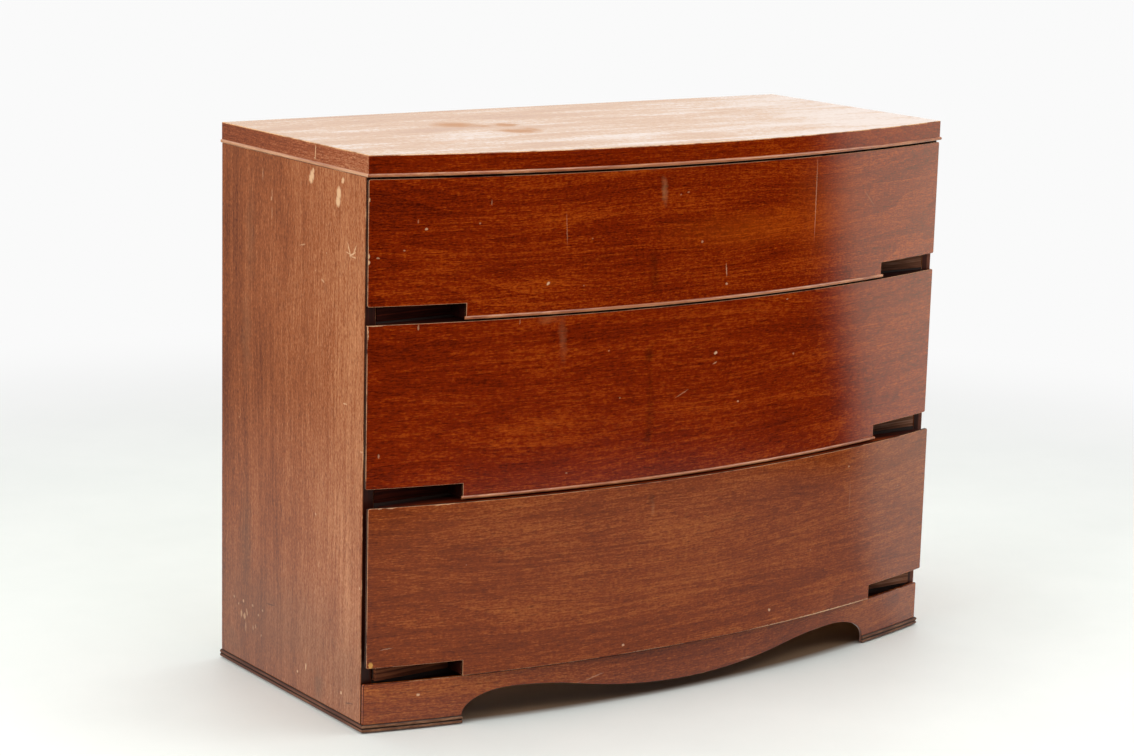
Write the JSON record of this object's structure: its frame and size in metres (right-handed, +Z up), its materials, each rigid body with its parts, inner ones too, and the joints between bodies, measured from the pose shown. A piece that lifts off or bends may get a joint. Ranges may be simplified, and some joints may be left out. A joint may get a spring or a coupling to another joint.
{
  "type": "bow front chest of drawers",
  "caption": "Low chest of drawers with a bowed veneered front, finger notches in place of handles, bead mouldings and a scrolled apron.",
  "frame": {"origin": "on the floor, below the middle of the box that holds the chest at rest, with the lowest drawer slightly open", "axes": "+Z up, the front looks along -Y, +X to the right of someone facing the chest's front"},
  "size_m": [1.1064, 0.523, 0.865],
  "materials": {
    "mahogany_front": "dark red brown mahogany veneer under worn satin lacquer, grain level",
    "mahogany_side": "paler mahogany veneer under worn satin lacquer, grain upright",
    "mahogany_top": "mahogany veneer with a cross banded edge, polished, with faint rings",
    "mahogany_solid": "solid mahogany bead and moulding, rubbed pale on the nose",
    "stained_core": "softwood segment boards, brush stained orange brown",
    "box_wood": "bare maple drawer boxes, planed, darkened with age",
    "plywood": "bare birch plywood",
    "frame_wood": "bare poplar rails and runners",
    "glide_steel": "pressed steel, dulled"
  },
  "bodies": {
    "case": {"apron": "mahogany_front", "apron_core": "stained_core", "back_panel": "plywood", "back_rail_base": "frame_wood", "back_rail_lower": "frame_wood", "back_rail_top": "frame_wood", "back_rail_upper": "frame_wood", "dust_panel_base": "plywood", "dust_panel_lower": "plywood", "dust_panel_upper": "plywood", "foot_blocks": "frame_wood", "foot_moulding_left": "mahogany_solid", "foot_moulding_right": "mahogany_solid", "front_rail_base": "frame_wood", "front_rail_lower": "frame_wood", "front_rail_top": "frame_wood", "front_rail_upper": "frame_wood", "glides": "glide_steel", "kicker_top_left": "frame_wood", "kicker_top_right": "frame_wood", "runner_base_left": "frame_wood", "runner_base_right": "frame_wood", "runner_lower_left": "frame_wood", "runner_lower_right": "frame_wood", "runner_upper_left": "frame_wood", "runner_upper_right": "frame_wood", "side_left": "mahogany_side", "side_moulding_left": "mahogany_solid", "side_moulding_right": "mahogany_solid", "side_right": "mahogany_side", "top_bead_front": "mahogany_solid", "top_bead_left": "mahogany_solid", "top_bead_right": "mahogany_solid", "top_panel": "mahogany_top"},
    "top_drawer": {"top_drawer_back": "box_wood", "top_drawer_bead": "mahogany_solid", "top_drawer_bottom": "plywood", "top_drawer_box_front": "box_wood", "top_drawer_cap": "stained_core", "top_drawer_face": "mahogany_front", "top_drawer_rib": "stained_core", "top_drawer_side_left": "box_wood", "top_drawer_side_right": "box_wood"},
    "middle_drawer": {"middle_drawer_back": "box_wood", "middle_drawer_bead": "mahogany_solid", "middle_drawer_bottom": "plywood", "middle_drawer_box_front": "box_wood", "middle_drawer_cap": "stained_core", "middle_drawer_face": "mahogany_front", "middle_drawer_rib": "stained_core", "middle_drawer_side_left": "box_wood", "middle_drawer_side_right": "box_wood"},
    "bottom_drawer": {"bottom_drawer_back": "box_wood", "bottom_drawer_bottom": "plywood", "bottom_drawer_box_front": "box_wood", "bottom_drawer_cap": "stained_core", "bottom_drawer_face": "mahogany_front", "bottom_drawer_rib": "stained_core", "bottom_drawer_side_left": "box_wood", "bottom_drawer_side_right": "box_wood"}
  },
  "joints": [
    {"name": "top_drawer_slide", "type": "slide", "parent": "case", "child": "top_drawer", "axis": [0, -1, 0], "range_m": [0, 0.32]},
    {"name": "middle_drawer_slide", "type": "slide", "parent": "case", "child": "middle_drawer", "axis": [0, -1, 0], "range_m": [0, 0.32]},
    {"name": "bottom_drawer_slide", "type": "slide", "parent": "case", "child": "bottom_drawer", "axis": [0, -1, 0], "range_m": [-0.008, 0.312]}
  ]
}
